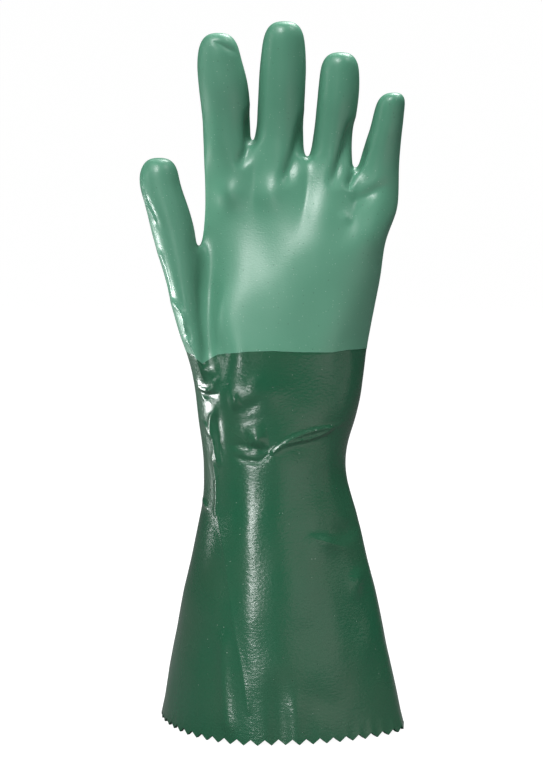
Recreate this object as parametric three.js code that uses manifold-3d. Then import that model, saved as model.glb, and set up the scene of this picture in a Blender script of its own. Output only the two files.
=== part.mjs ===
// A left-hand chemical-resistant gauntlet glove, standing on the pinked edge of its cuff with
// the fingers up and the palm towards -Y. It is one hollow shell of knit fabric with a rubber
// coat: the whole glove is dark green, and the hand is dipped again in light green, down to a
// colour line at the wrist. The two colours are two solids here. Millimetres, +Z up.
import * as THREE from "three";
import { mergeVertices } from "three/addons/utils/BufferGeometryUtils.js";
import Module from "manifold-3d";

// Driving dimensions.
const WALL = 1.5; // knit lining and its coat
const COLOUR_LINE = 187.5; // height where the second dip ends
const COLOUR_GAP = 0.3; // between the two solids
const TOOTH_COUNT = 48; // pinking shears cut about one tooth in 6.4 mm
const TOOTH_DEPTH = 2.3;
const TOOTH_TIP = 0.8; // the blunt point that each tooth stands on
const HEM_LIFT = 4; // the open mouth is cut this far past the hem
const NOTCH_REACH = 6; // each notch is cut this thick, right through the wall
const SLAB_SIZE = 400; // larger than the glove

// How finely the walls are drawn.
const BODY_COLUMNS = 44;
const FINGER_COLUMNS = 18;
const FOLDED = { from: 94, to: 212 }; // the heights between which the sections are closer
const OUTLINE_STEPS = 240;
const DOME_ROWS = 4;
const DOME_POWER = 2.4; // 2 is a round fingertip, more is a blunter one
const LAST_ROW_SHORT = 0.35; // the last ring stops this share of a row short of the tip

// The body from the hem to the roots of the fingers, a row for each section. left and right are
// the outline from the front, front and back the depth of each panel before and behind the side
// folds, from and to the share of the width over which the front panel lies flat, and tilt the
// slope of the section, which falls towards the little finger.
const BODY = [
  { z: 0, left: -55.2, right: 64.8, front: 40, back: 40, from: 0.32, to: 0.46, tilt: 0 },
  { z: 16, left: -52.6, right: 61.0, front: 39.4, back: 38.8, from: 0.32, to: 0.46, tilt: 0 },
  { z: 36, left: -49.0, right: 57.0, front: 38.2, back: 37.4, from: 0.32, to: 0.46, tilt: 0 },
  { z: 56, left: -45.3, right: 52.5, front: 36.8, back: 36, from: 0.32, to: 0.46, tilt: 0 },
  { z: 76, left: -41.4, right: 48.0, front: 35, back: 34.4, from: 0.33, to: 0.46, tilt: 0 },
  { z: 94, left: -37.5, right: 44.0, front: 33.4, back: 33, from: 0.34, to: 0.48, tilt: 0 },
  { z: 108, left: -34.0, right: 39.9, front: 32, back: 32, from: 0.35, to: 0.5, tilt: 0 },
  { z: 119, left: -33.2, right: 37.6, front: 31, back: 31.2, from: 0.35, to: 0.52, tilt: 0 },
  { z: 131, left: -33.1, right: 36.2, front: 30.2, back: 30.6, from: 0.36, to: 0.56, tilt: 0 },
  { z: 143, left: -34.2, right: 38.2, front: 29.6, back: 30, from: 0.36, to: 0.58, tilt: 0 },
  { z: 156, left: -35.8, right: 42.6, front: 29, back: 29, from: 0.34, to: 0.6, tilt: 0 },
  { z: 170, left: -37.4, right: 44.6, front: 28, back: 28, from: 0.32, to: 0.64, tilt: 0 },
  { z: 184, left: -40.0, right: 46.2, front: 27, back: 27, from: 0.3, to: 0.68, tilt: 0 },
  { z: 198, left: -38.4, right: 48.2, front: 25.6, back: 25.6, from: 0.28, to: 0.7, tilt: 0.01 },
  { z: 212, left: -34.6, right: 50.6, front: 24, back: 24.2, from: 0.27, to: 0.72, tilt: 0.03 },
  { z: 226, left: -32.4, right: 53.2, front: 22.2, back: 22.6, from: 0.26, to: 0.74, tilt: 0.07 },
  { z: 240, left: -31.6, right: 55.2, front: 19.6, back: 20, from: 0.25, to: 0.75, tilt: 0.12 },
  { z: 252, left: -31.4, right: 57.2, front: 16.8, back: 17.2, from: 0.24, to: 0.76, tilt: 0.17 },
  { z: 264, left: -31.2, right: 59.8, front: 13, back: 13.4, from: 0.23, to: 0.77, tilt: 0.22 },
  { z: 275, left: -30.8, right: 61, front: 9.2, back: 9.6, from: 0.22, to: 0.78, tilt: 0.25 },
  { z: 283, left: -29.0, right: 59.4, front: 5.4, back: 5.8, from: 0.21, to: 0.79, tilt: 0.26 },
];
// At the hem the left side fold lies back and the right one a little forward, which is gone at
// the wrist.
const LEFT_FOLD_BACK = 17;
const RIGHT_FOLD_FORWARD = 7;
const FOLDS_LEVEL_AT = 118;
// How round the panels are beside the folds: 2 is a round flank, 1 a straight one.
const CUFF_LEFT_POWER = 1.65;
const CUFF_RIGHT_POWER = 1.1;
const PALM_POWER = 1.9;
const PALM_STARTS = 120;
const PALM_FULL = 180;
const BACK_POWER = 1.9;
const BACK_FLAT_FROM = 0.36; // the back of the hand and cuff is flat over this share
const BACK_FLAT_TO = 0.64;

// Broad dents and folds of the body: the middle of each, the turn of its long side from level,
// its length and width, and how far it goes in (or out, where depth is negative).
const FOLDS = [
  { side: "front", x: 11, z: 139, turn: 28, long: 48, wide: 5, depth: 4.2 }, // wrist crease
  { side: "front", x: 13, z: 150, turn: 28, long: 40, wide: 4, depth: -1.6 }, // the ridge above it
  { side: "front", x: -8, z: 166, turn: -8, long: 26, wide: 5, depth: 2.2 },
  { side: "front", x: -12, z: 152, turn: 4, long: 30, wide: 4, depth: 2.4 },
  { side: "front", x: -24, z: 176, turn: 78, long: 30, wide: 4, depth: 2.4 },
  { side: "front", x: -28, z: 142, turn: 82, long: 44, wide: 3.5, depth: 3.2 },
  { side: "front", x: 33, z: 101, turn: -15, long: 28, wide: 7, depth: 3.2 },
  { side: "front", x: -14, z: 26, turn: -84, long: 60, wide: 4, depth: 1.2 },
  { side: "front", x: -31, z: 209, turn: 84, long: 66, wide: 5, depth: 3.4 }, // beside the thumb
  { side: "front", x: 47, z: 258, turn: 24, long: 28, wide: 4, depth: 2.4 }, // below the little finger
  { side: "back", x: 2, z: 150, turn: 4, long: 56, wide: 7, depth: 3 },
  { side: "back", x: 8, z: 122, turn: -8, long: 50, wide: 8, depth: 2.2 },
];
const FOLD_FADE = 1.5; // a fold is gone at this many half lengths from its middle

// The fingers and thumb. Each row is a ring named by the two ends of its outline from the front,
// its depth along Y and the depth of its middle, from the root inside the palm to where the
// rounded tip begins.
const FINGERS = {
  index: {
    tip: { x: -25, z: 338.6, y: -11 },
    rings: [
      { lx: -27.6, lz: 254, rx: -10.4, rz: 254, y: 0, deep: 20 },
      { lx: -31.6, lz: 273, rx: -9.2, rz: 272, y: 0, deep: 23 },
      { lx: -32.6, lz: 288, rx: -9.6, rz: 287, y: -0.5, deep: 23.4 },
      { lx: -33.4, lz: 301, rx: -10.0, rz: 300, y: -2.5, deep: 23 },
      { lx: -34.4, lz: 313, rx: -11.2, rz: 312, y: -5.5, deep: 22.6 },
      { lx: -34.9, lz: 326.4, rx: -14.2, rz: 326.4, y: -9, deep: 21.4 },
    ],
  },
  middle: {
    tip: { x: 6.2, z: 344.4, y: -12 },
    rings: [
      { lx: -6.4, lz: 252, rx: 13.4, rz: 252, y: 0, deep: 20 },
      { lx: -7.8, lz: 272, rx: 15.8, rz: 270, y: 0, deep: 23.4 },
      { lx: -7.4, lz: 288, rx: 16.2, rz: 286, y: -0.5, deep: 24 },
      { lx: -6.3, lz: 303, rx: 16.2, rz: 303, y: -3, deep: 23.6 },
      { lx: -5.4, lz: 317, rx: 16.7, rz: 317, y: -6.5, deep: 23 },
      { lx: -4.6, lz: 331.4, rx: 16.4, rz: 331.4, y: -10, deep: 21.8 },
    ],
  },
  ring: {
    tip: { x: 33, z: 329.6, y: -11.5 },
    rings: [
      { lx: 17.2, lz: 246, rx: 35.6, rz: 244, y: 0, deep: 19 },
      { lx: 18.0, lz: 265, rx: 39.2, rz: 262, y: 0, deep: 22.4 },
      { lx: 18.8, lz: 280, rx: 39.4, rz: 278, y: -0.5, deep: 22.6 },
      { lx: 20.2, lz: 293, rx: 40.0, rz: 292, y: -3, deep: 22 },
      { lx: 21.8, lz: 305, rx: 41.8, rz: 305, y: -6.5, deep: 21.4 },
      { lx: 22.6, lz: 317.6, rx: 42.2, rz: 317.6, y: -9.5, deep: 20.6 },
    ],
  },
  little: {
    tip: { x: 58, z: 310.2, y: -11 },
    rings: [
      { lx: 38.6, lz: 242, rx: 57.0, rz: 242, y: 0, deep: 17 },
      { lx: 40.8, lz: 259, rx: 60.6, rz: 258, y: 0, deep: 20 },
      { lx: 42.6, lz: 276, rx: 61.4, rz: 275, y: -1, deep: 20 },
      { lx: 46.0, lz: 289, rx: 62.2, rz: 288, y: -4.5, deep: 19 },
      { lx: 49.0, lz: 301.4, rx: 63.4, rz: 301.4, y: -8.5, deep: 17.4 },
    ],
  },
  thumb: {
    tip: { x: -54.4, z: 279.6, y: -15 },
    rings: [
      { lx: -37.0, lz: 166, rx: -22.0, rz: 196, y: -5, deep: 27 },
      { lx: -41.6, lz: 184, rx: -25.0, rz: 208, y: -7, deep: 28 },
      { lx: -45.6, lz: 201, rx: -28.6, rz: 219, y: -9, deep: 27.6 },
      { lx: -50.2, lz: 219, rx: -31.6, rz: 231, y: -11, deep: 26 },
      { lx: -54.6, lz: 235, rx: -34.4, rz: 240, y: -12.5, deep: 25 },
      { lx: -59.2, lz: 252, rx: -37.8, rz: 252, y: -13.5, deep: 24 },
      { lx: -62.8, lz: 268.6, rx: -43.0, rz: 267.6, y: -14.5, deep: 23 },
    ],
  },
};

const wasm = await Module();
wasm.setup();

const smooth = (t) => t * t * (3 - 2 * t);
const clamp = (t) => Math.min(1, Math.max(0, t));

// Makes a closed mesh into a solid that can be cut and joined, and back.
function solid(geometry) {
  const bare = geometry.clone();
  bare.deleteAttribute("normal");
  bare.deleteAttribute("uv");
  const merged = mergeVertices(bare, 1e-4);
  return new wasm.Manifold(
    new wasm.Mesh({
      numProp: 3,
      vertProperties: new Float32Array(merged.attributes.position.array),
      triVerts: new Uint32Array(merged.index.array),
    }),
  );
}

function geometryOf(manifold) {
  const mesh = manifold.getMesh();
  const geometry = new THREE.BufferGeometry();
  geometry.setAttribute("position", new THREE.BufferAttribute(mesh.vertProperties, 3));
  geometry.setIndex(new THREE.BufferAttribute(mesh.triVerts, 1));
  geometry.computeVertexNormals();
  return geometry;
}

// A closed skin through rings of points, each ring with the same number, running
// counter-clockwise from above, lowest ring first.
function loft(rings) {
  const columns = rings[0].length;
  const points = rings.flat();
  const faces = [];
  for (let row = 0; row + 1 < rings.length; row++) {
    for (let column = 0; column < columns; column++) {
      const a = row * columns + column;
      const b = row * columns + ((column + 1) % columns);
      faces.push(a, b, b + columns, a, b + columns, a + columns);
    }
  }
  const middle = (ring) =>
    ring.reduce((sum, p) => sum.add(p), new THREE.Vector3()).divideScalar(columns);
  const foot = points.push(middle(rings[0])) - 1;
  const top = points.push(middle(rings.at(-1))) - 1;
  const last = (rings.length - 1) * columns;
  for (let column = 0; column < columns; column++) {
    const next = (column + 1) % columns;
    faces.push(foot, next, column);
    faces.push(top, last + column, last + next);
  }
  const geometry = new THREE.BufferGeometry().setFromPoints(points);
  geometry.setIndex(faces);
  return geometry;
}

// How far a panel stands out at a share of its width, from 0 at the folds to 1: it rises over the
// first stretch, lies flat, and falls over the last.
function panelHeight(share, from, to, leftPower, rightPower) {
  const ramp = (t, power) => Math.pow(1 - Math.pow(1 - clamp(t), power), 1 / power);
  if (share < from) return ramp(share / from, leftPower);
  if (share > to) return ramp((1 - share) / (1 - to), rightPower);
  return 1;
}

// How deep all the folds of one side are at a place seen from the front.
function foldAt(x, z, side) {
  let depth = 0;
  for (const fold of FOLDS) {
    if (fold.side !== side) continue;
    const turn = THREE.MathUtils.degToRad(fold.turn);
    const along = (x - fold.x) * Math.cos(turn) + (z - fold.z) * Math.sin(turn);
    const across = (z - fold.z) * Math.cos(turn) - (x - fold.x) * Math.sin(turn);
    const ends = smooth(clamp(FOLD_FADE - Math.abs(along) / (fold.long / 2)));
    depth += fold.depth * ends * Math.exp(-((across / fold.wide) ** 2));
  }
  return depth;
}

// The outline of one body section, evenly divided: the front panel from the left side fold to
// the right one, then the back panel home again.
function bodyOutline(row) {
  const skew = clamp(1 - row.z / FOLDS_LEVEL_AT);
  const palm = smooth(clamp((row.z - PALM_STARTS) / (PALM_FULL - PALM_STARTS)));
  const leftPower = THREE.MathUtils.lerp(CUFF_LEFT_POWER, PALM_POWER, palm);
  const rightPower = THREE.MathUtils.lerp(CUFF_RIGHT_POWER, PALM_POWER, palm);
  const panel = (isFront) => {
    const points = [];
    for (let i = 0; i <= OUTLINE_STEPS; i++) {
      const share = (1 - Math.cos((Math.PI * i) / OUTLINE_STEPS)) / 2;
      const x = THREE.MathUtils.lerp(row.left, row.right, share);
      const edge = skew * THREE.MathUtils.lerp(LEFT_FOLD_BACK, -RIGHT_FOLD_FORWARD, share);
      const peak = isFront ? -row.front : row.back;
      const height = isFront
        ? panelHeight(share, row.from, row.to, leftPower, rightPower)
        : panelHeight(share, BACK_FLAT_FROM, BACK_FLAT_TO, BACK_POWER, BACK_POWER);
      const dent = foldAt(x, row.z, isFront ? "front" : "back") * height;
      const y = edge + (peak - edge) * height + (isFront ? dent : -dent);
      points.push(new THREE.Vector3(x, y, row.z - row.tilt * x));
    }
    return points;
  };
  const evenly = (points) => {
    const curve = new THREE.CatmullRomCurve3(points, false, "centripetal");
    curve.arcLengthDivisions = 2 * OUTLINE_STEPS;
    return curve.getSpacedPoints(BODY_COLUMNS / 2);
  };
  const front = evenly(panel(true));
  const back = evenly(panel(false)).reverse();
  return [...front.slice(0, -1), ...back.slice(0, -1)];
}

// A ring moved inwards by the thickness of the wall, square to its own outline.
function inset(ring, wall) {
  return ring.map((point, i) => {
    const before = ring.at(i - 1);
    const after = ring[(i + 1) % ring.length];
    const inwards = new THREE.Vector3(before.y - after.y, after.x - before.x, 0).normalize();
    return point.clone().addScaledVector(inwards, wall);
  });
}

// The sections of the table, with one more halfway between each two where the glove is folded.
function bodySections() {
  return BODY.flatMap((row, i) => {
    const next = BODY[i + 1];
    if (!next || row.z < FOLDED.from || next.z > FOLDED.to) return [row];
    const halfway = {};
    for (const column of Object.keys(row)) halfway[column] = (row[column] + next[column]) / 2;
    return [row, halfway];
  });
}

// The body, drawn in by the wall where it is the hollow.
function bodySolid(wall) {
  const rings = bodySections().map((row) => inset(bodyOutline(row), wall));
  if (wall > 0) {
    rings.unshift(rings[0].map((p) => p.clone().setZ(p.z - HEM_LIFT)));
    rings.at(-1).forEach((p) => p.setZ(p.z - wall));
  }
  return solid(loft(rings));
}

// One finger, drawn in by the wall where it is the hollow: rings through the outline, then a
// rounded tip.
function fingerSolid(finger, wall) {
  const rings = finger.rings.map((r) => ({
    left: new THREE.Vector3(r.lx, r.y, r.lz),
    right: new THREE.Vector3(r.rx, r.y, r.rz),
    deep: r.deep / 2 - wall,
  }));
  for (const ring of rings) {
    const step = ring.right.clone().sub(ring.left).setLength(wall);
    ring.left.add(step);
    ring.right.sub(step);
  }
  const last = rings.at(-1);
  const root = last.left.clone().add(last.right).divideScalar(2);
  const tip = new THREE.Vector3(finger.tip.x, finger.tip.y, finger.tip.z);
  tip.addScaledVector(tip.clone().sub(root).normalize(), -wall);
  const half = last.right.clone().sub(last.left).divideScalar(2);
  for (let i = 1; i <= DOME_ROWS; i++) {
    const rise = Math.sin((Math.PI / 2) * (i / (DOME_ROWS + LAST_ROW_SHORT)));
    const width = Math.pow(1 - Math.pow(rise, DOME_POWER), 1 / DOME_POWER);
    const middle = root.clone().lerp(tip, rise);
    rings.push({
      left: middle.clone().addScaledVector(half, -width),
      right: middle.clone().addScaledVector(half, width),
      deep: last.deep * width,
    });
  }
  return solid(
    loft(
      rings.map((ring) => {
        const points = [];
        for (let i = 0; i < FINGER_COLUMNS; i++) {
          const angle = Math.PI + (2 * Math.PI * i) / FINGER_COLUMNS;
          const share = (1 + Math.cos(angle)) / 2;
          const point = ring.left.clone().lerp(ring.right, share);
          point.y += ring.deep * Math.sin(angle);
          points.push(point);
        }
        return points;
      }),
    ),
  );
}

// The notches between the teeth that pinking shears leave along the hem, each cut square
// through the wall.
function hemNotches() {
  const hem = new THREE.CatmullRomCurve3(bodyOutline(BODY[0]), true, "centripetal");
  const half = hem.getLength() / TOOTH_COUNT / 2 - TOOTH_TIP / 2;
  const notch = new THREE.Shape([
    new THREE.Vector2(-half * 2, -TOOTH_DEPTH),
    new THREE.Vector2(half * 2, -TOOTH_DEPTH),
    new THREE.Vector2(0, TOOTH_DEPTH),
  ]);
  return Array.from({ length: TOOTH_COUNT }, (_, i) => {
    const share = (i + 0.5) / TOOTH_COUNT;
    const along = hem.getTangentAt(share).setZ(0).normalize();
    const up = new THREE.Vector3(0, 0, 1);
    const out = along.clone().cross(up);
    const geometry = new THREE.ExtrudeGeometry(notch, { depth: NOTCH_REACH, bevelEnabled: false });
    geometry.translate(0, 0, -NOTCH_REACH / 2);
    geometry.applyMatrix4(new THREE.Matrix4().makeBasis(along, up, out));
    const middle = hem.getPointAt(share);
    geometry.translate(middle.x, middle.y, 0);
    return solid(geometry);
  });
}

// A slab as wide as the glove, from one height to another.
function slab(low, high) {
  const geometry = new THREE.BoxGeometry(SLAB_SIZE, SLAB_SIZE, high - low);
  geometry.translate(0, 0, (low + high) / 2);
  return solid(geometry);
}

// The outside of the whole glove, or its hollow where a wall is given.
function gloveForm(wall) {
  const pieces = [bodySolid(wall), ...Object.values(FINGERS).map((f) => fingerSolid(f, wall))];
  return pieces.reduce((joined, piece) => joined.add(piece));
}

const shell = gloveForm(0).subtract(gloveForm(WALL));
const lightGreen = new THREE.MeshStandardMaterial({ color: 0x67a487, roughness: 0.4, metalness: 0 });
const darkGreen = new THREE.MeshStandardMaterial({ color: 0x2f6249, roughness: 0.28, metalness: 0 });

const hand = new THREE.Mesh(
  geometryOf(shell.intersect(slab(COLOUR_LINE + COLOUR_GAP / 2, SLAB_SIZE))),
  lightGreen,
);
hand.name = "hand";

const cuff = shell.intersect(slab(0, COLOUR_LINE - COLOUR_GAP / 2));
const gauntlet = new THREE.Mesh(
  geometryOf(hemNotches().reduce((cut, notch) => cut.subtract(notch), cuff)),
  darkGreen,
);
gauntlet.name = "gauntlet";

// The origin is the middle of the base of the whole.
const glove = new THREE.Group();
glove.add(hand, gauntlet);
const middle = new THREE.Box3().setFromObject(glove, true).getCenter(new THREE.Vector3());
for (const part of glove.children) part.geometry.translate(-middle.x, -middle.y, 0);

export default glove;
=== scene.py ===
import bpy, bmesh, math
import numpy as np
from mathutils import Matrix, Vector, noise


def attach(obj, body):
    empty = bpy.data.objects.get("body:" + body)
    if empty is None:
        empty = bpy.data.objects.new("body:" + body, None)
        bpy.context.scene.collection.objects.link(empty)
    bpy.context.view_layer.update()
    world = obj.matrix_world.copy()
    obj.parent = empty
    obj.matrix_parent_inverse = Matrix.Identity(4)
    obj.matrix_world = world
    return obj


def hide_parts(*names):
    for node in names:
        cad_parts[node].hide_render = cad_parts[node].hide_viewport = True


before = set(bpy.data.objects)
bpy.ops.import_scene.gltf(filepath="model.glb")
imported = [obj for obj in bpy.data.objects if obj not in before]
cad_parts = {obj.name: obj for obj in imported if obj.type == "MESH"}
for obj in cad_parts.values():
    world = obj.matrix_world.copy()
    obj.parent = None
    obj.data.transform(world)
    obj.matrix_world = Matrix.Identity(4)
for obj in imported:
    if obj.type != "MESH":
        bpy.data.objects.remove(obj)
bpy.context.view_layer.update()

# The skin of the glove. The real one is a knit liner on a hand-shaped former, dipped whole in
# dark green rubber and, down to the wrist, again in light green. It is drawn as one net of
# 15 columns on the palm side and 15 on the back: three for the thumb and three for each finger.
COLUMNS = 15
PALM_SIDE, MIDDLE, BACK = 0, 1, 2
FIRST_COLUMN = {"thumb": 0, "index": 3, "middle": 6, "ring": 9, "little": 12}

# Sections of the cuff and wrist: the outline from the front, how far the palm side and the back
# stand out, how far the side folds lean, the share of the width where the front has its ridge,
# and how full the front is to the left and right of it: 1 is flat and 2 is round.
CUFF = [
    # z, left, right, front, back, lean, ridge, left full, right full
    (0, -55.2, 65.6, 40.0, 40.0, 1.00, 0.420, 1.72, 1.90),
    (14, -52.8, 62.8, 39.6, 39.0, 0.88, 0.417, 1.72, 1.85),
    (32, -49.6, 59.2, 38.5, 37.6, 0.73, 0.409, 1.72, 1.75),
    (50, -46.3, 55.4, 37.3, 36.4, 0.58, 0.399, 1.72, 1.72),
    (68, -42.8, 51.2, 35.8, 35.0, 0.42, 0.391, 1.74, 1.72),
    (84, -39.5, 47.4, 34.3, 33.7, 0.29, 0.381, 1.78, 1.74),
    (98, -36.5, 43.9, 32.9, 32.6, 0.17, 0.371, 1.82, 1.76),
    (109, -33.9, 40.8, 31.9, 31.9, 0.08, 0.366, 1.86, 1.78),
    (119, -33.3, 37.7, 31.0, 31.2, 0.00, 0.370, 1.90, 1.80),
    (129, -33.2, 36.1, 30.3, 30.6, 0.00, 0.380, 1.95, 1.80),
    (139, -33.6, 37.0, 29.8, 30.2, 0.00, 0.392, 2.00, 1.80),
    (149, -35.0, 40.3, 29.3, 29.6, 0.00, 0.365, 2.00, 1.80),
    (160, -36.4, 43.6, 28.7, 28.8, 0.00, 0.305, 1.80, 1.85),
    (173, -37.8, 44.8, 27.9, 27.9, 0.00, 0.255, 1.80, 1.90),
]
# Sections of the lower palm and the thumb beside it, each with its own outline. valley is how
# far the palm still stands out next to the thumb.
PALM = [
    # z, thumb left, thumb right, palm left, palm right, front, back, thumb y, thumb deep, valley,
    # ridge, left full, right full
    (186.5, -41.4, -27.5, -25.5, 46.4, 26.9, 26.9, -8.0, 30.0, 0.78, 0.165, 2.2, 1.8),
    (198, -45.0, -31.0, -29.4, 48.2, 25.4, 25.6, -9.0, 29.0, 0.70, 0.22, 2.4, 1.9),
    (211, -48.4, -32.4, -31.2, 50.5, 23.8, 24.0, -10.0, 28.0, 0.60, 0.36, 2.2, 2.0),
    (224, -52.0, -33.4, -32.2, 53.0, 22.0, 22.4, -11.2, 26.6, 0.50, 0.48, 1.8, 2.3),
    (235, -54.6, -34.8, -33.4, 53.9, 20.4, 20.8, -12.4, 25.4, 0.42, 0.59, 1.6, 2.6),
]
# Sections of the upper palm. tilt is the slope down to the little finger, and pad how far the
# finger roots stand out between the webs.
KNUCKLES = [
    # z, left, right, front, back, tilt, pad, ridge, left full, right full
    (247, -31.4, 55.6, 18.2, 18.6, 0.10, 0.06, 0.63, 1.6, 2.8),
    (259, -31.2, 58.8, 15.8, 16.2, 0.17, 0.12, 0.62, 1.8, 2.8),
    (269.5, -31.8, 61.2, 13.6, 14.0, 0.22, 0.20, 0.55, 2.2, 2.6),
]
# The rings of the thumb and fingers, each given by the two ends of its outline from the front.
FINGERS = {
    "index": [
        # left x, left z, right x, right z, y, deep
        (-32.2, 283.0, -9.3, 287.4, 0.0, 23.6),
        (-32.8, 294.0, -9.4, 295.5, -1.2, 23.4),
        (-33.8, 305.0, -10.0, 305.5, -3.6, 23.0),
        (-34.7, 315.0, -11.3, 315.0, -6.4, 22.4),
        (-34.8, 325.0, -14.3, 325.0, -9.2, 18.6),
        (-24.9, 337.8, -24.9, 337.8, -11.8, 0.0),
    ],
    "middle": [
        (-8.5, 287.4, 16.4, 279.8, 0.0, 24.2),
        (-7.0, 295.0, 16.2, 291.0, -1.0, 24.0),
        (-6.3, 306.0, 16.3, 305.0, -3.6, 23.6),
        (-5.4, 318.5, 16.7, 318.5, -7.0, 22.8),
        (-4.5, 331.0, 16.3, 331.0, -10.2, 19.0),
        (6.2, 343.4, 6.2, 343.4, -12.8, 0.0),
    ],
    "ring": [
        (18.2, 279.0, 39.6, 274.6, 0.0, 23.0),
        (19.6, 286.5, 38.8, 284.5, -0.8, 22.6),
        (20.8, 297.0, 40.2, 296.5, -3.2, 22.2),
        (22.0, 308.0, 41.9, 308.0, -6.2, 21.4),
        (23.2, 318.6, 42.0, 318.6, -8.8, 18.0),
        (32.8, 328.9, 32.8, 328.9, -11.2, 0.0),
    ],
    "little": [
        (41.4, 273.8, 61.4, 271.0, 0.0, 20.0),
        (43.4, 282.0, 61.6, 281.0, -1.4, 19.6),
        (47.4, 292.0, 62.4, 291.6, -4.4, 18.6),
        (49.4, 302.6, 63.3, 302.4, -7.8, 15.2),
        (58.0, 309.8, 58.0, 309.8, -10.0, 0.0),
    ],
    "thumb": [
        (-57.2, 245.0, -36.0, 244.0, -13.2, 24.6),
        (-60.2, 256.5, -39.0, 255.4, -14.2, 24.0),
        (-62.8, 267.6, -43.2, 266.4, -14.7, 20.4),
        (-53.0, 279.2, -53.0, 279.2, -15.6, 0.0),
    ],
}
# Where the columns stand, as shares of the width: even round the cuff, then to the right of the
# thumb in the lower palm, and gathered in threes under the fingers.
CUFF_SHARES = [0.03, 0.09, 0.155, 0.22, 0.285, 0.35, 0.415, 0.48,
               0.545, 0.61, 0.675, 0.745, 0.815, 0.89, 0.965]
THUMB_SHARES = [0.03, 0.085, 0.15]
PALM_START, PALM_WIDTH = 0.18, 0.805
PALM_SHARES = [0.02, 0.115, 0.21, 0.295, 0.385, 0.475, 0.56, 0.65, 0.74, 0.825, 0.91, 0.985]
KNUCKLE_SHARES = [0.02, 0.13, 0.24, 0.27, 0.39, 0.51, 0.54, 0.655, 0.765, 0.80, 0.90, 0.985]


def mix(a, b, t):
    return a + (b - a) * t


def smooth(t):
    t = np.clip(t, 0, 1)
    return t * t * (3 - 2 * t)


# How far a side stands out at a share of its width: it rises to its ridge, which is softly
# rounded, and falls behind it.
BACK_FULL = 2.4
RIDGE_SOFT = 0.03


def crown(share, ridge, left_full, right_full):
    room, full = (ridge, left_full) if share < ridge else (1 - ridge, right_full)
    off = math.hypot(share - ridge, RIDGE_SOFT) - RIDGE_SOFT
    end = math.hypot(room, RIDGE_SOFT) - RIDGE_SOFT
    return (1 - (off / end) ** full) ** (1 / full)


def back_crown(share):
    return crown(share, 0.5, BACK_FULL, BACK_FULL)


# A ring of the cuff. Its left fold leans back and its right one forward, most at the hem, and
# its columns change places over the wrist.
LEFT_LEAN, RIGHT_LEAN = 17, -7
WRIST, HEEL = 109, 173


def cuff_section(z, left, right, front, back, lean, ridge, left_full, right_full):
    changed = float(smooth((z - WRIST) / (HEEL - WRIST)))
    shares = THUMB_SHARES + [PALM_START + PALM_WIDTH * s for s in PALM_SHARES]
    points = {}
    for c in range(COLUMNS):
        share = mix(CUFF_SHARES[c], shares[c], changed)
        x = mix(left, right, share)
        edge = lean * mix(LEFT_LEAN, RIGHT_LEAN, share)
        before = (front + edge) * crown(share, ridge, left_full, right_full)
        behind = (back - edge) * back_crown(share)
        points[c, PALM_SIDE] = Vector((x, edge - before, z))
        points[c, BACK] = Vector((x, edge + behind, z))
    points[0, MIDDLE] = Vector((left, LEFT_LEAN * lean, z))
    points[COLUMNS - 1, MIDDLE] = Vector((right, RIGHT_LEAN * lean, z))
    return points


# A ring of the thumb or of a finger: three columns in front, three behind, and its two sides.
def tube_points(first, left, right, y, deep):
    points = {}
    for c, turn in ((0, 225), (1, 270), (2, 315)):
        share = (1 + math.cos(math.radians(turn))) / 2
        out = -math.sin(math.radians(turn)) * deep / 2
        middle = left.lerp(right, share)
        points[first + c, PALM_SIDE] = middle + Vector((0, y - out - middle.y, 0))
        points[first + c, BACK] = middle + Vector((0, y + out - middle.y, 0))
        points[first + c, MIDDLE] = left.lerp(right, (0, 0.5, 1)[c]) + Vector((0, y - middle.y, 0))
    return points


# A ring of the palm without the thumb. Its columns gather towards the fingers between two
# heights. Only the middle one of a finger's three stands out in full where pad is more than 0,
# and valley is for the one next to the thumb.
PALM_FIRST = FIRST_COLUMN["index"]
GATHER_FROM, GATHERED = 226, 260


def palm_points(z, left, right, front, back, tilt, pad, ridge, left_full, right_full, valley=None):
    points = {}
    gathered = float(smooth((z - GATHER_FROM) / (GATHERED - GATHER_FROM)))
    for i in range(COLUMNS - PALM_FIRST):
        share = mix(PALM_SHARES[i], KNUCKLE_SHARES[i], gathered)
        x = mix(left, right, share)
        padded = 1 if i % 3 == 1 else 1 - pad
        before = valley if i == 0 and valley else crown(share, ridge, left_full, right_full) * padded
        behind = valley if i == 0 and valley else back_crown(share) * padded
        points[PALM_FIRST + i, PALM_SIDE] = Vector((x, -front * before, z - tilt * x))
        points[PALM_FIRST + i, BACK] = Vector((x, back * behind, z - tilt * x))
        points[PALM_FIRST + i, MIDDLE] = Vector((x, 0, z - tilt * x))
    points[PALM_FIRST, MIDDLE].x = left
    points[COLUMNS - 1, MIDDLE].x = right
    return points


# A ring of the lower palm with the thumb beside it.
def palm_section(z, thumb_left, thumb_right, palm_left, palm_right, front, back,
                 thumb_y, thumb_deep, valley, ridge, left_full, right_full):
    points = palm_points(z, palm_left, palm_right, front, back, 0, 0,
                         ridge, left_full, right_full, valley)
    left, right = Vector((thumb_left, 0, z)), Vector((thumb_right, 0, z))
    points.update(tube_points(FIRST_COLUMN["thumb"], left, right, thumb_y, thumb_deep))
    return points


# A subdivided net shrinks towards its middle by a sixth of each bend, so each ring is set out by
# as much, to end where the section is.
def set_out(points, first, last):
    ring = [(c, PALM_SIDE) for c in range(first, last + 1)] + [(last, MIDDLE)]
    ring += [(c, BACK) for c in range(last, first - 1, -1)] + [(first, MIDDLE)]
    wanted = {k: points[k].copy() for k in ring}
    for n, k in enumerate(ring):
        before, after = wanted[ring[n - 1]], wanted[ring[(n + 1) % len(ring)]]
        points[k] = wanted[k] + (2 * wanted[k] - before - after) / 6
    return points


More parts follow.
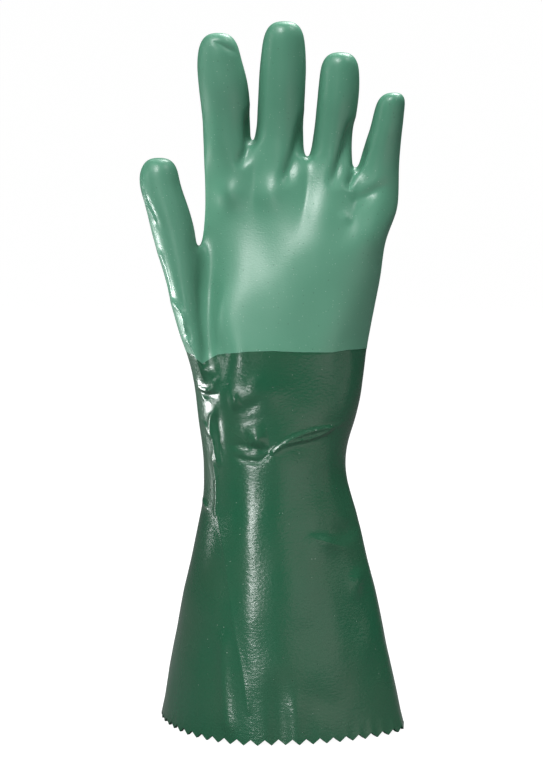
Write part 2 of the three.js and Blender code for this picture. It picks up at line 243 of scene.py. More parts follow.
net = bmesh.new()
column = net.verts.layers.int.new("column")
side = net.verts.layers.int.new("side")
bmesh.ops.create_grid(net, x_segments=COLUMNS - 1, y_segments=2, size=1)
for v in net.verts:
    v[column] = round((v.co.x + 1) / 2 * (COLUMNS - 1))
    v[side] = round(v.co.y + 1)


def place(verts, points):
    for v in verts:
        v.co = points[v[column], v[side]]


def is_vert(item):
    return isinstance(item, bmesh.types.BMVert)


def is_face(item):
    return isinstance(item, bmesh.types.BMFace)


# Down from the crotch of the thumb to the hem, ring by ring. Faces are marked with what they
# belong to: the hand, the cuff, or the strip just above the colour line, where there are both.
HAND, CUFF_ONLY, BOTH = 0, 1, 2
STRIP_BELOW = 190
WEB_Y, WEB_Z = -6, 237.4
crotch = set_out(palm_section(*PALM[-1]), 0, COLUMNS - 1)
for c, x in ((2, -35.2), (3, -33.4)):
    crotch[c, MIDDLE] = Vector((x, WEB_Y, WEB_Z))
place(net.verts, crotch)
edges = [e for e in net.edges if e.is_boundary]
below = [("palm", row) for row in PALM[-2::-1]] + [("cuff", row) for row in CUFF[::-1]]
for kind, row in below:
    points = palm_section(*row) if kind == "palm" else cuff_section(*row)
    made = bmesh.ops.extrude_edge_only(net, edges=edges)["geom"]
    place([v for v in made if is_vert(v)], set_out(points, 0, COLUMNS - 1))
    edges = [e for e in made if isinstance(e, bmesh.types.BMEdge) and e.is_boundary]
    for face in (f for f in made if is_face(f)):
        face.material_index = CUFF_ONLY if kind == "cuff" else BOTH if row[0] < STRIP_BELOW else HAND


# Up from a patch of the net: those of the faces whose columns all lie between first and last.
def patch(first, last, faces):
    return [f for f in faces if f.is_valid and all(first <= v[column] <= last for v in f.verts)]


def raise_patch(faces, points):
    made = bmesh.ops.extrude_face_region(net, geom=faces)["geom"]
    place([v for v in made if is_vert(v)], points)
    bmesh.ops.delete(net, geom=[f for f in faces if f.is_valid], context="FACES")
    return [f for f in made if is_face(f)]


# The palm is raised from the faces at the height of the crotch, and the fingers from the palm.
CAP_ABOVE = 232
cap = [f for f in net.faces if all(v.co.z > CAP_ABOVE for v in f.verts)]
top = patch(PALM_FIRST, COLUMNS - 1, cap)
for row in KNUCKLES:
    top = raise_patch(top, set_out(palm_points(*row), PALM_FIRST, COLUMNS - 1))
roots = {}
for name in ("index", "middle", "ring", "little"):
    lx, lz, rx, rz, y, deep = FINGERS[name][0]
    points = tube_points(FIRST_COLUMN[name], Vector((lx, 0, lz)), Vector((rx, 0, rz)), y, deep)
    roots.update(set_out(points, FIRST_COLUMN[name], FIRST_COLUMN[name] + 2))
top = raise_patch(top, roots)

# Each tip closes over two more rings, given by how far up to the tip they are and how wide. Its
# middle is set out past the tip, which the rounding brings back.
TIP_RINGS = ((0.58, 0.90), (0.95, 0.56))
TIP_OUT = 1.6
for name, rings in FINGERS.items():
    first = FIRST_COLUMN[name]
    faces = patch(first, first + 2, cap if name == "thumb" else top)
    rows = list(rings if name == "thumb" else rings[1:])
    tip = rows.pop()
    lx, lz, rx, rz, y, deep = rows[-1]
    for rise, width in TIP_RINGS:
        half = (rx - lx) / 2 * width
        x, z = mix((lx + rx) / 2, tip[0], rise), mix((lz + rz) / 2, tip[1], rise)
        rows.append((x - half, z, x + half, z, mix(y, tip[4], rise), deep * width))
    for lx, lz, rx, rz, y, deep in rows:
        points = tube_points(first, Vector((lx, 0, lz)), Vector((rx, 0, rz)), y, deep)
        faces = raise_patch(faces, set_out(points, first, first + 2))
    for v in {v for f in faces for v in f.verts if v[column] == first + 1 and v[side] == MIDDLE}:
        v.co.z = mix(v.co.z, tip[1], TIP_OUT)

# The middle of the base goes to the origin, and the net is rounded.
MIDDLE_OF_BASE = 0.75
bmesh.ops.recalc_face_normals(net, faces=net.faces)
bmesh.ops.translate(net, verts=net.verts, vec=(-MIDDLE_OF_BASE, 0, 0))
cage = bpy.data.meshes.new("net")
net.to_mesh(cage)
net.free()
rough_skin = bpy.data.objects.new("net", cage)
bpy.context.collection.objects.link(rough_skin)
rounding = rough_skin.modifiers.new("round", "SUBSURF")
rounding.levels = rounding.render_levels = 3
rounded = rough_skin.evaluated_get(bpy.context.evaluated_depsgraph_get())
smooth_skin = bpy.data.meshes.new_from_object(rounded)
bpy.data.objects.remove(rough_skin)
skin = bmesh.new()
skin.from_mesh(smooth_skin)

# Folds and creases, in millimetres seen from the front. The glove was packed flat, so a flange
# runs down its left edge, and it is creased at the wrist. Each goes in by its depth, or out where
# that is negative. Upright ones are listed from the bottom and level ones from the left.
FOLDS = {
    "front": [
        # depth, width left or above, width right or below, roundness, points (x, z)
        # the flange on the left edge of the thumb and wrist, a hollow with a crest beside it
        (1, 3.5, 1.2, 1.6, [(-52.5, 244), (-56, 252), (-59, 258.5), (-61.5, 266)]),
        (-0.9, 1.1, 0.7, 1.3, [(-54.6, 248.2), (-57, 252.8), (-59.5, 257.8), (-61, 265)]),
        (1, 3.5, 1.5, 1.6, [(-47, 209), (-49.5, 218.7), (-51, 225.2), (-53.5, 235)]),
        (-0.8, 1, 0.7, 1.3, [(-47.9, 212.6), (-48.7, 218.7), (-50.2, 225.2), (-51.6, 229.9),
                             (-53.3, 236)]),
        (-1.2, 1.3, 0.9, 1.3, [(-41, 195), (-41.7, 202.5), (-43.1, 206.8), (-45.5, 209.6),
                               (-48.5, 213.5)]),
        (1.2, 3.5, 1.2, 1.6, [(-33.6, 173), (-35.5, 180.5), (-37.5, 186.4), (-41.5, 194)]),
        (-1.2, 1.2, 0.9, 1.3, [(-32, 172), (-34.2, 180.5), (-36, 186.4), (-38.4, 191), (-41, 195)]),
        # the valley between the thumb and the palm
        (2.2, 3.4, 6, 2, [(-29.6, 180), (-30.9, 190), (-32.3, 205), (-33, 220), (-34, 236)]),
        # the pinch beside the wrist and the upright creases below it
        (1.2, 1.6, 3, 1.6, [(-36.5, 168.5), (-33, 166.8), (-28.5, 167), (-24.5, 168)]),
        (-1.1, 1, 1.2, 1.3, [(-37.8, 175.5), (-35.4, 170.8), (-33.9, 169.1), (-31.9, 168.7),
                             (-28.9, 169.5), (-25.5, 170.4)]),
        (-0.8, 1, 1, 1.3, [(-28.9, 169.5), (-27.4, 172.5), (-25, 176.5)]),
        (-0.8, 1, 1, 1.3, [(-31.5, 162.5), (-35.8, 167.5)]),
        (1.2, 1.4, 4, 1.6, [(-24, 133), (-25.5, 140), (-26.5, 147), (-27, 156), (-24.5, 162)]),
        (-1.1, 1.3, 1.3, 1.3, [(-25.6, 131), (-26.4, 136), (-27.4, 140.5), (-28.6, 146.4),
                               (-29.6, 151), (-29.3, 155.5), (-26.5, 162)]),
        (-0.8, 1, 1, 1.3, [(-28.6, 145), (-31.1, 149.7), (-33.6, 153.5)]),
        (-0.7, 1.1, 1.1, 1.3, [(-27.8, 107), (-27.2, 115.7), (-27.2, 125.3), (-27.8, 132),
                               (-28.8, 139.5)]),
        (-0.9, 1.1, 1.1, 1.3, [(-31.2, 108.5), (-32.8, 111.8), (-34.6, 114)]),
        (-0.35, 1, 1.5, 1.3, [(-11.3, 14), (-14.1, 33), (-17.5, 50.9), (-20.8, 74.5), (-24.2, 97.7),
                              (-27.2, 110)]),
        # the level folds across the left of the wrist
        (-0.9, 4.4, 4.8, 2, [(-17.5, 160), (-19.2, 167), (-19.5, 176), (-17.6, 186), (-15, 200)]),
        (-0.4, 2, 2.4, 1.8, [(-12.5, 171.8), (-7.9, 174.2), (-3.5, 176.6)]),
        (-1.4, 4.2, 4.6, 2, [(-21.5, 164), (-18.2, 164.6), (-15, 165.8)]),
        (0.8, 3, 3, 1.8, [(-22, 159), (-14, 160.5), (-8, 163.5), (-2, 168)]),
        (0.5, 3, 3, 1.8, [(-24, 152.5), (-15, 154), (-8, 155.5), (-1, 156)]),
        (-1.9, 4.6, 4.6, 2, [(-13, 145.5), (-7.5, 146.5), (-2, 147.5)]),
        (1, 2.6, 1.9, 1.45, [(-25, 143.4), (-17, 143.3), (-12.7, 142.8), (-7, 141.8), (-3, 141.6),
                             (3, 143.5)]),
        (0.8, 1.6, 1.4, 1.45, [(-21, 138.6), (-15.5, 137), (-11.7, 136.2), (-7, 135.9), (-3.4, 138),
                               (1, 141.5)]),
        # the long diagonal crease, split in two, and the hollow under it
        (0.8, 2, 6, 1.6, [(-1, 137), (8, 142), (17, 144), (26, 147), (36, 152)]),
        (-0.9, 0.9, 0.9, 1.3, [(-1.5, 139), (2, 141.6), (6.8, 145), (11.6, 147.3), (16.9, 149),
                               (22.8, 150.2), (30.5, 150.6)]),
        (-0.8, 0.9, 0.9, 1.3, [(5, 143.5), (11.7, 145), (17, 145.7), (22.8, 147.1), (30, 150.4)]),
        (-0.4, 1.5, 1.5, 1.4, [(28, 149.8), (32, 151.3), (36.5, 153)]),
        # dents and pleats of the cuff
        (0.9, 5, 4, 2, [(27, 101.5), (35, 99.5), (42, 96.5)]),
        (-1.6, 2.2, 5, 1.45, [(15, 99.8), (19.4, 98.5), (25.3, 96), (30.7, 93.4), (39.5, 90.6)]),
        (-1.3, 3, 3, 1.8, [(40, 66), (40.6, 75), (40.6, 82)]),
        (-1.4, 2.6, 3, 1.7, [(-20, 0), (-22.5, 20), (-23.5, 36), (-23.5, 56)]),
        # the cuff waves a little where the glove lay folded in its bag
        (1, 5, 5, 2, [(3, -24), (3.5, 10), (2, 38)]),
        (-0.4, 4.5, 4.5, 2, [(-3, -20), (-3.5, 6), (-4.5, 24)]),
        (-0.8, 4.2, 4.2, 2, [(11.5, -20), (11, 8), (9.5, 26)]),
        (-0.5, 8, 8, 2, [(10, 116), (20, 108), (31, 104)]),
        (0.6, 6, 6, 2, [(14, 32), (24, 20), (38, 14)]),
        (-0.5, 5, 5, 2, [(44, 30), (46, 44), (44, 56)]),
        # the hollows beside the roots of the fingers
        (3, 2.5, 2.2, 1.7, [(-17, 273.5), (-12, 282), (-10.5, 292), (-11.5, 304)]),
        (2.8, 2.6, 4, 1.8, [(4.5, 265), (8, 274), (12.5, 286), (14.5, 302)]),
        (3, 2.5, 3, 1.7, [(27, 263.5), (32, 276), (36, 287), (38.5, 299)]),
        (2.6, 3, 1, 1.4, [(36, 263), (38.5, 269), (41, 275.5), (46.5, 288)]),
        (2, 2.4, 4, 1.7, [(36, 257), (46, 262), (58, 268.5)]),
        (-0.8, 2, 2, 1.8, [(32, 254.5), (34.5, 250.5), (38.5, 249.5)]),
        # the creased tip of the index finger
        (0.9, 1, 2, 1.4, [(-29, 334), (-23, 331.6), (-16.5, 328)]),
    ],
    "back": [
        # two soft folds across the wrist and a shallow pleat down the cuff
        (2.6, 5, 4, 1.7, [(-26, 147), (-6, 149), (18, 146), (32, 149)]),
        (1.8, 5, 5, 1.8, [(-18, 125), (4, 121), (26, 124)]),
        (1, 4, 4, 1.8, [(-6, 30), (-4, 60), (-2, 92)]),
    ],
}


# A smooth curve through a few points, as a line of short stretches.
def drawn(points, stretches=8):
    p = np.array([points[0]] + points + [points[-1]], float)
    line = []
    for i in range(1, len(p) - 2):
        a, b, c, d = p[i - 1:i + 3]
        slope, bend, twist = c - a, 2 * a - 5 * b + 4 * c - d, 3 * b - a - 3 * c + d
        for t in np.arange(stretches) / stretches:
            line.append(0.5 * (2 * b + slope * t + bend * t ** 2 + twist * t ** 3))
    return np.array(line + [p[-2]])


# How far many points are from the stretch from a to b, and how far along it the nearest place is.
def gap_to(x, z, a, b):
    run = b - a
    t = np.clip(((x - a[0]) * run[0] + (z - a[1]) * run[1]) / (run @ run), 0, 1)
    return np.hypot(x - a[0] - t * run[0], z - a[1] - t * run[1]), t


# How deep a fold is at each of many points. It dies away to both sides over its two widths, softly
# where its roundness is 2 and from a point where it is near 1, and at its ends over twice both.
VERY_FAR = 1e9


def fold_depth(x, z, depth, before, after, roundness, points):
    line = drawn(points)
    best = np.full(len(x), VERY_FAR)
    offset, along = np.zeros(len(x)), np.zeros(len(x))
    for i, (a, b) in enumerate(zip(line[:-1], line[1:])):
        gap, t = gap_to(x, z, a, b)
        near = gap < best
        best[near] = gap[near]
        offset[near] = ((b - a)[0] * (z - a[1]) - (b - a)[1] * (x - a[0]))[near]
        along[near] = (i + t[near]) / (len(line) - 1)
    width = np.where(offset > 0, before, after)
    length = np.hypot(*np.diff(line, axis=0).T).sum()
    ends = smooth(np.minimum(along, 1 - along) * length / min(length / 2, 2 * (before + after)))
    return depth * ends * np.exp(-(best / width) ** roundness)


# The soft swells and hollows of the palm: the balls of the thumb and of the little finger, the
# pads under the fingers, and the hollow in the middle.
SWELLS = [
    # rise, x, z, half width, half height, lean
    (1.8, -25, 204, 8, 20, 0.20),
    (1.4, -9, 169, 12, 8, 0),
    (1, -20, 232, 9, 16, 0),
    (-0.9, -4, 236, 9, 24, 0.05),
    (0.8, 20, 244, 12, 20, 0.10),
    (2, 31, 202, 9, 17, 0.20),
    (2.4, -20.5, 262, 6, 6.5, 0),
    (1.8, -1.5, 262, 6, 7, 0),
    (0.3, 22, 255, 9, 9, 0),
    (1.2, 43, 243, 7, 9, -0.3),
]


def swell_height(x, z):
    height = np.zeros(len(x))
    for rise, middle_x, middle_z, half_width, half_height, lean in SWELLS:
        across = (x - middle_x - lean * (z - middle_z)) / half_width
        height += rise * np.exp(-across ** 2 - ((z - middle_z) / half_height) ** 2)
    return height


# Pointed creases need a finer mesh along them, at the front and round the sides.
POINTED_BELOW = 1.5
CREASE_REACH = 3.2
FACES_FRONT = 0.2


def near_crease(x, z):
    gap = np.full(len(x), VERY_FAR)
    for *_, roundness, points in FOLDS["front"]:
        if roundness < POINTED_BELOW:
            line = drawn(points)
            for a, b in zip(line[:-1], line[1:]):
                gap = np.minimum(gap, gap_to(x, z, a, b)[0])
    return gap < CREASE_REACH


edges = [e for e in skin.edges if e.verts[0].normal.y < FACES_FRONT]
middles = np.array([(e.verts[0].co + e.verts[1].co)[:] for e in edges]) / 2
close = near_crease(middles[:, 0], middles[:, 2])
creased = [e for e, is_close in zip(edges, close) if is_close]
bmesh.ops.subdivide_edges(skin, edges=creased, cuts=1, use_grid_fill=True, smooth=1)

# Folds and swells move the skin along the way it faces, and those of one side die away round the
# edge of the glove.
PAST_EDGE, EDGE_WIDTH = 0.35, 0.5
skin.normal_update()
skin.verts.ensure_lookup_table()
at = np.array([v.co[:] for v in skin.verts])
facing = np.array([v.normal[:] for v in skin.verts])
towards = {"front": smooth((PAST_EDGE - facing[:, 1]) / EDGE_WIDTH),
           "back": smooth((facing[:, 1] + PAST_EDGE) / EDGE_WIDTH)}
sunk = np.zeros(len(at))
for side_name, folds in FOLDS.items():
    for fold in folds:
        sunk += towards[side_name] * fold_depth(at[:, 0], at[:, 2], *fold)
sunk -= towards["front"] * swell_height(at[:, 0], at[:, 2])

# The whole skin wavers gently, with a finer waver on the broad one. The cuff and the fingers
# waver more than the palm.
WAVER = 0.6
WAVER_SIZE = 26
FINER_WAVER, TIMES_FINER = 0.12, 3.2
CALM_PALM, CALM_FROM, CALM_OVER = 0.35, 170, 40
MORE_IN_FINGERS, FINGERS_FROM, FINGERS_OVER = 0.6, 262, 25
waver = []
for v in skin.verts:
    broad = v.co / WAVER_SIZE
    waver.append(noise.noise(broad) + FINER_WAVER * noise.noise(broad * TIMES_FINER))
calmed = mix(1, CALM_PALM, smooth((at[:, 2] - CALM_FROM) / CALM_OVER))
roused = MORE_IN_FINGERS * smooth((at[:, 2] - FINGERS_FROM) / FINGERS_OVER)
sunk -= WAVER * np.array(waver) * (calmed + roused)
at -= facing * sunk[:, None]

# The colour line dips where the thumb meets the palm and wanders a little elsewhere. The ring
# of the net that divides the colours is moved to it, and takes the skin beside it along.
COLOUR_LINE = [(-42, 187), (-37.5, 186), (-33.5, 182), (-30, 184.2), (-26.5, 186.2), (-22, 187.2),
               (-12, 188.4), (0, 188.6), (12, 187.8), (28, 187.2), (36, 188), (46, 187.4)]
LINE_RING = 186.5
LINE_REACH = 11
BACK_RISE, BACK_WANDER, BACK_STEP = 0.8, 0.6, 9
line_x, line_z = np.array(COLOUR_LINE).T
shift = np.interp(at[:, 0], line_x, line_z) - LINE_RING
shift = np.where(facing[:, 1] < 0, shift, BACK_RISE + BACK_WANDER * np.sin(at[:, 0] / BACK_STEP))
at[:, 2] += shift * (1 - smooth(np.abs(at[:, 2] - LINE_RING) / LINE_REACH))

# The hem is cut with pinking shears: teeth all round, with the points on the floor. Vertices are
# moved to the corners of the teeth, and then the skin is lifted by the cut, which its lowest few
# millimetres take up.
TEETH = 48
TOOTH = 2.8
TAKEN_UP = 10
hem = [v for v in skin.verts if v.is_boundary]
loop, last = [min(hem, key=lambda v: v.co.x)], None
while len(loop) < len(hem):
    ways_on = [e.other_vert(loop[-1]) for e in loop[-1].link_edges if e.is_boundary]
    ways_on = [v for v in ways_on if v is not last]
    last = loop[-1]
    loop.append(ways_on[0])
ring = at[[v.index for v in loop]]
ring = np.vstack([ring, ring[:1]])[:, :2]
starts, runs = ring[:-1], np.diff(ring, axis=0)
lengths = np.concatenate([[0], np.cumsum(np.hypot(*runs.T))])
half = lengths[-1] / TEETH / 2
for corner in range(2 * TEETH):
    i = int(np.argmin(np.abs(lengths[:-1] - corner * half)))
    at[loop[i].index, :2] = [np.interp(corner * half, lengths, ring[:, k]) for k in (0, 1)]
for i in np.where(at[:, 2] < TAKEN_UP)[0]:
    t = np.clip(((at[i, :2] - starts) * runs).sum(1) / (runs * runs).sum(1), 0, 1)
    n = int(np.argmin(np.hypot(*(at[i, :2] - starts - t[:, None] * runs).T)))
    along = lengths[n] + t[n] * (lengths[n + 1] - lengths[n])
    cut = TOOTH * (1 - abs((along / half) % 2 - 1))
    at[i, 2] = cut + (1 - cut / TAKEN_UP) * max(at[i, 2], 0)
for v, place_of in zip(skin.verts, at):
    v.co = place_of
MM = 0.001
bmesh.ops.scale(skin, verts=skin.verts, vec=(MM, MM, MM))
skin_mesh = bpy.data.meshes.new("skin")
skin.to_mesh(skin_mesh)
skin.free()


# The two coats of rubber on the knit: the cuff is the first dip, in dark green, and the hand is
# the second, in light green down to the colour line. It stands a little proud of the first, which
# runs on under its edge. Each is cut from the skin and given its wall.
WALL = 1.4
PROUD = 0.12
TUCKED_IN = -0.4
SHARP = math.radians(55)


def piece(name, marks, proud):
    part = bmesh.new()
    part.from_mesh(skin_mesh)
    bmesh.ops.delete(part, geom=[f for f in part.faces if f.material_index not in marks], context="FACES")
    part.normal_update()
    for v in part.verts:
        beside = {f.material_index for f in v.link_faces}
        under = CUFF_ONLY in marks and BOTH in beside and CUFF_ONLY not in beside
        v.co += v.normal * (TUCKED_IN if under else proud) * MM
    bmesh.ops.solidify(part, geom=part.faces[:], thickness=WALL * MM)
    for v in part.verts:
        v.co.z = max(v.co.z, 0)
    part.normal_update()
    for f in part.faces:
        f.smooth = True
        f.material_index = 0
    for e in part.edges:
        e.smooth = e.calc_face_angle(0) < SHARP
    mesh = bpy.data.meshes.new(name)
    part.to_mesh(mesh)
    part.free()
    made = bpy.data.objects.new(name, mesh)
    bpy.context.collection.objects.link(made)
    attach(made, "root")
    return made


hand_coat = piece("hand_coat", (HAND, BOTH), PROUD)
cuff_coat = piece("cuff_coat", (CUFF_ONLY, BOTH), 0)
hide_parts("hand")
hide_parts("gauntlet")


# Both rubbers take a fine crinkled grain from the knit under them. They have a few pits where
# bubbles burst in the dip, tiny pale specks, and a colour that is a little uneven.
def feed(tree, socket, value):
    if isinstance(value, bpy.types.NodeSocket):
        tree.links.new(value, socket)
    else:
        socket.default_value = value


def joined(tree, kind, **inputs):
    made = tree.nodes.new("ShaderNode" + kind)
    for label, value in inputs.items():
        feed(tree, made.inputs[label.replace("_", " ")], value)
    return made


def reckoned(tree, a, operation, b):
    made = tree.nodes.new("ShaderNodeMath")
    made.operation = operation
    feed(tree, made.inputs[0], a)
    feed(tree, made.inputs[1], b)
    return made.outputs[0]


# Dots with soft rims in a share of the cells of a pattern. The radius is a share of a cell.
def dots(tree, where, per_metre, radius, share):
    cells = joined(tree, "TexVoronoi", Vector=where, Scale=per_metre)
    inside = joined(tree, "MapRange", Value=cells.outputs["Distance"],
                    From_Min=radius, From_Max=radius * 0.5)
    parts = joined(tree, "SeparateColor", Color=cells.outputs["Color"])
    chosen = reckoned(tree, parts.outputs[0], "LESS_THAN", share)
    return reckoned(tree, inside.outputs["Result"], "MULTIPLY", chosen)


# The grain. Its crinkles are a little wider than tall, the clouds of colour are about 40 mm wide,
# and the streaks run up the glove, the way that the dip drained.
WIDER_THAN_TALL = 1.7
CELL_HEIGHT = 0.3
PITS_PER_METRE, PIT_RADIUS = 420, 0.17
SPECKS_PER_METRE, SPECK_RADIUS = 640, 0.13
CLOUDS_PER_METRE = 24
STREAKS_PER_METRE, STREAK_STRETCH = 150, 0.12
grain = bpy.data.node_groups.new("dipped grain", "ShaderNodeTree")
grain.interface.new_socket("Cells per Metre", in_out="INPUT", socket_type="NodeSocketFloat")
grain.interface.new_socket("Pits", in_out="INPUT", socket_type="NodeSocketFloat")
grain.interface.new_socket("Specks", in_out="INPUT", socket_type="NodeSocketFloat")
for label in ("Height", "Pits", "Specks", "Clouds", "Streaks"):
    grain.interface.new_socket(label, in_out="OUTPUT", socket_type="NodeSocketFloat")
given = grain.nodes.new("NodeGroupInput")
where = grain.nodes.new("ShaderNodeTexCoord").outputs["Object"]
flattened = joined(grain, "Mapping", Vector=where, Scale=(1, 1, WIDER_THAN_TALL)).outputs[0]
per_metre = given.outputs["Cells per Metre"]
knit = joined(grain, "TexVoronoi", Vector=flattened, Scale=per_metre, Randomness=0.9)
crinkle = joined(grain, "TexNoise", Vector=flattened, Scale=per_metre, Detail=2.0)
pits = dots(grain, where, PITS_PER_METRE, PIT_RADIUS, given.outputs["Pits"])
specks = dots(grain, where, SPECKS_PER_METRE, SPECK_RADIUS, given.outputs["Specks"])
clouds = joined(grain, "TexNoise", Vector=where, Scale=CLOUDS_PER_METRE, Detail=3.0)
upright = joined(grain, "Mapping", Vector=where, Scale=(1, 1, STREAK_STRETCH)).outputs[0]
streaks = joined(grain, "TexNoise", Vector=upright, Scale=STREAKS_PER_METRE, Detail=2.0)
height = reckoned(grain, knit.outputs["Distance"], "MULTIPLY", CELL_HEIGHT)
height = reckoned(grain, height, "ADD", crinkle.outputs["Fac"])
height = reckoned(grain, height, "SUBTRACT", pits)
given_back = grain.nodes.new("NodeGroupOutput")
for label, socket in (("Height", height), ("Pits", pits), ("Specks", specks),
                      ("Clouds", clouds.outputs["Fac"]), ("Streaks", streaks.outputs["Fac"])):
    grain.links.new(socket, given_back.inputs[label])


# One colour laid over another as far as a mask says.
def laid_over(tree, under, over, mask):
    made = joined(tree, "Mix", Factor=mask)
    made.data_type = "RGBA"
    feed(tree, made.inputs[6], under)
    feed(tree, made.inputs[7], over)
    return made.outputs[2]


# A rubber goes from one shade to another in soft clouds and faint streaks. It is a little duller
# in some clouds, pale at the specks, and its colour is darkened in the pits as painted shade.
CLOUD_LOW, CLOUD_HIGH = 0.36, 0.64
STREAK_LOW, STREAK_HIGH, STREAK_MOST = 0.3, 0.7, 0.3
SHADE_MOST = 0.77
SPECK_COLOUR, SPECK_MOST = (0.5, 0.62, 0.54, 1), 0.6
# The pits are darkened in colour: painted shade in their hollows.
PIT_PAINTED_SHADE, PIT_PAINTED_SHADE_MOST = 0.3, 0.35
GLOSSIER, DULLER = 0.03, 0.05


def dipped_rubber(name, shade, other_shade, dullness, cells, depth, pit_share, speck_share):
    made = bpy.data.materials.new(name)
    made.use_nodes = True
    tree = made.node_tree
    shader = tree.nodes["Principled BSDF"]
    surface = tree.nodes.new("ShaderNodeGroup")
    surface.node_tree = grain
    surface.inputs["Cells per Metre"].default_value = cells
    surface.inputs["Pits"].default_value = pit_share
    surface.inputs["Specks"].default_value = speck_share
    clouded = joined(tree, "MapRange", Value=surface.outputs["Clouds"],
                     From_Min=CLOUD_LOW, From_Max=CLOUD_HIGH)
    streaked = joined(tree, "MapRange", Value=surface.outputs["Streaks"],
                      From_Min=STREAK_LOW, From_Max=STREAK_HIGH, To_Max=STREAK_MOST)
    blend = reckoned(tree, clouded.outputs["Result"], "ADD", streaked.outputs["Result"])
    blend = reckoned(tree, blend, "MULTIPLY", SHADE_MOST)
    colour = laid_over(tree, (*shade, 1), (*other_shade, 1), blend)
    speckled = reckoned(tree, surface.outputs["Specks"], "MULTIPLY", SPECK_MOST)
    colour = laid_over(tree, colour, SPECK_COLOUR, speckled)
    # Painted shade: the colour is darkened in the pits.
    pit_painted_shade = reckoned(tree, surface.outputs["Pits"], "MULTIPLY", PIT_PAINTED_SHADE_MOST)
    colour = laid_over(tree, colour, (*(PIT_PAINTED_SHADE * c for c in shade), 1), pit_painted_shade)
    tree.links.new(colour, shader.inputs["Base Color"])
    dull = joined(tree, "MapRange", Value=surface.outputs["Clouds"], From_Min=0.3, From_Max=0.7,
                  To_Min=dullness - GLOSSIER, To_Max=dullness + DULLER)
    tree.links.new(dull.outputs["Result"], shader.inputs["Roughness"])
    bump = joined(tree, "Bump", Height=surface.outputs["Height"], Strength=1.0, Distance=depth)
    tree.links.new(bump.outputs["Normal"], shader.inputs["Normal"])
    return made


# The second dip is smoother and duller than the first, which shows more of the knit.
light_rubber = dipped_rubber("light green rubber", (0.078, 0.248, 0.160), (0.092, 0.264, 0.176),
                             dullness=0.36, cells=900, depth=0.00005, pit_share=0.2, speck_share=0.4)
dark_rubber = dipped_rubber("dark green rubber", (0.010, 0.083, 0.041), (0.020, 0.081, 0.043),
                            dullness=0.25, cells=500, depth=0.0001, pit_share=0.06, speck_share=0.04)
hand_coat.data.materials.append(light_rubber)
cuff_coat.data.materials.append(dark_rubber)

# The camera stands in front at the photograph's height and looks a little down.
eye = bpy.data.cameras.new("camera")
eye.sensor_width = 36
eye.lens = 104.7
camera = bpy.data.objects.new("camera", eye)
bpy.context.collection.objects.link(camera)
look_at = Vector((-0.00055, 0.0134, 0.1677))
distance = 1.1
down = math.radians(7)
camera.location = look_at + distance * Vector((0, -math.cos(down), math.sin(down)))
camera.rotation_euler = (math.pi / 2 - down, 0, 0)
bpy.context.scene.camera = camera

# A round floor of pale paper that curves up to a low wall far from the glove. It glows for the
# camera only and is grey to the lamps, so that the rubber doesn't mirror a white floor.
FLOOR_RADIUS = 2.4
CURVE_UP = ((2.7, 0.05), (2.95, 0.17), (3.12, 0.35), (3.2, 0.6), (3.2, 1.6))
PAPER_GREY = (0.16, 0.16, 0.16, 1)
PAPER_GLOW = 0.96
sweep = bmesh.new()
bmesh.ops.create_circle(sweep, cap_ends=True, segments=96, radius=FLOOR_RADIUS)
rim = [e for e in sweep.edges if e.is_boundary]
radius = FLOOR_RADIUS
for wider, higher in CURVE_UP:
    made = bmesh.ops.extrude_edge_only(sweep, edges=rim)["geom"]
    for v in (v for v in made if is_vert(v)):
        v.co = (v.co.x * wider / radius, v.co.y * wider / radius, higher)
    rim = [e for e in made if isinstance(e, bmesh.types.BMEdge) and e.is_boundary]
    radius = wider
bmesh.ops.recalc_face_normals(sweep, faces=sweep.faces)
bmesh.ops.reverse_faces(sweep, faces=sweep.faces)
for f in sweep.faces:
    f.smooth = True
paper_mesh = bpy.data.meshes.new("sweep")
sweep.to_mesh(paper_mesh)
sweep.free()
paper = bpy.data.objects.new("sweep", paper_mesh)
bpy.context.collection.objects.link(paper)
paper_look = bpy.data.materials.new("white paper")
paper_look.use_nodes = True
tree = paper_look.node_tree
shader = tree.nodes["Principled BSDF"]
shader.inputs["Base Color"].default_value = PAPER_GREY
shader.inputs["Roughness"].default_value = 0.9
shader.inputs["Emission Color"].default_value = (1, 1, 1, 1)
seen = tree.nodes.new("ShaderNodeLightPath")
glow = reckoned(tree, seen.outputs["Is Camera Ray"], "MULTIPLY", PAPER_GLOW)
tree.links.new(glow, shader.inputs["Emission Strength"])
paper.data.materials.append(paper_look)


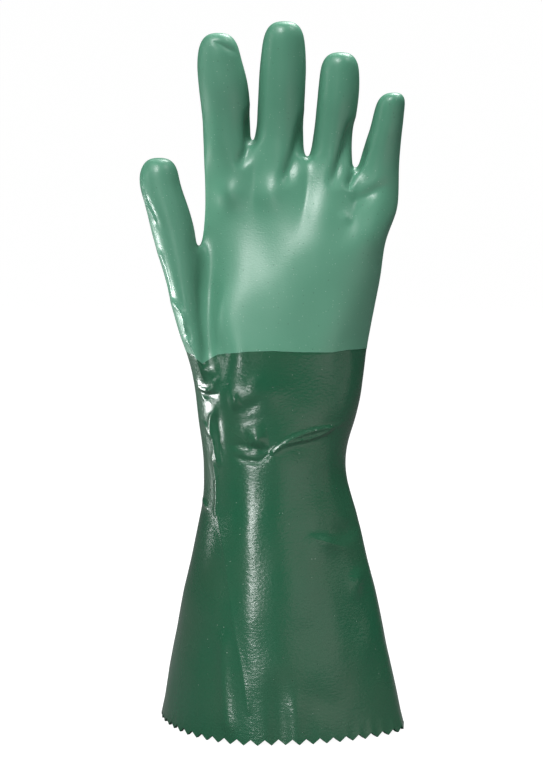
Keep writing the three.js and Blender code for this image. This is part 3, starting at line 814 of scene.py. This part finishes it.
# Soft lamps, each a glowing panel turned to the glove. The three low strips, one within another,
# draw the long bright line on the cuff with soft edges, and the two warm cards its grey
# reflections. Aim is the height that a lamp looks at.
def lamp(name, where, size, power, colour=(1, 1, 1), aim=0.17, spread=180):
    data = bpy.data.lights.new(name, "AREA")
    data.shape = "RECTANGLE"
    data.size, data.size_y = size
    data.energy = power
    data.color = colour
    data.spread = math.radians(spread)
    made = bpy.data.objects.new(name, data)
    bpy.context.collection.objects.link(made)
    made.location = where
    made.rotation_euler = (Vector((0, 0, aim)) - made.location).to_track_quat("-Z", "Y").to_euler()


lamp("key", (-0.44, -1.2, 1.2), (0.32, 0.32), 18)
lamp("low strip", (-0.1, -0.58, 0.14), (0.026, 0.18), 0.010, aim=0.06, spread=38)
lamp("low strip halo", (-0.1, -0.585, 0.14), (0.06, 0.21), 0.027, aim=0.06, spread=38)
lamp("low strip edge", (-0.1, -0.59, 0.14), (0.1, 0.24), 0.037, aim=0.06, spread=38)
lamp("left side", (-0.9, -0.25, 0.42), (0.08, 0.4), 0.9)
lamp("crease light", (-0.34, 0.12, 0.1), (0.08, 0.08), 0.07, aim=0.235, spread=36)
lamp("high left", (-0.62, -0.72, 1.24), (1.0, 0.8), 6.5)
lamp("rim top", (0.3, 0.35, 1.0), (0.6, 0.4), 11)
lamp("high right", (0.64, -0.37, 0.99), (0.3, 0.3), 2.2)
lamp("grey card", (0.257, -0.306, 0.075), (0.237, 0.18), 0.15, (1, 0.74, 0.8), aim=0.075)
lamp("side card", (0.4, -0.14, 0.115), (0.22, 0.05), 0.04, (1, 0.76, 0.8), aim=0.115)
lamp("back wash", (0, 1.2, 2.0), (2, 1), 8)

# The room gives a faint light from all round.
world = bpy.data.worlds.new("room")
bpy.context.scene.world = world
world.use_nodes = True
world.node_tree.nodes["Background"].inputs["Color"].default_value = (0.9, 0.95, 0.92, 1)
world.node_tree.nodes["Background"].inputs["Strength"].default_value = 0.12
bpy.context.scene.view_settings.view_transform = "Standard"
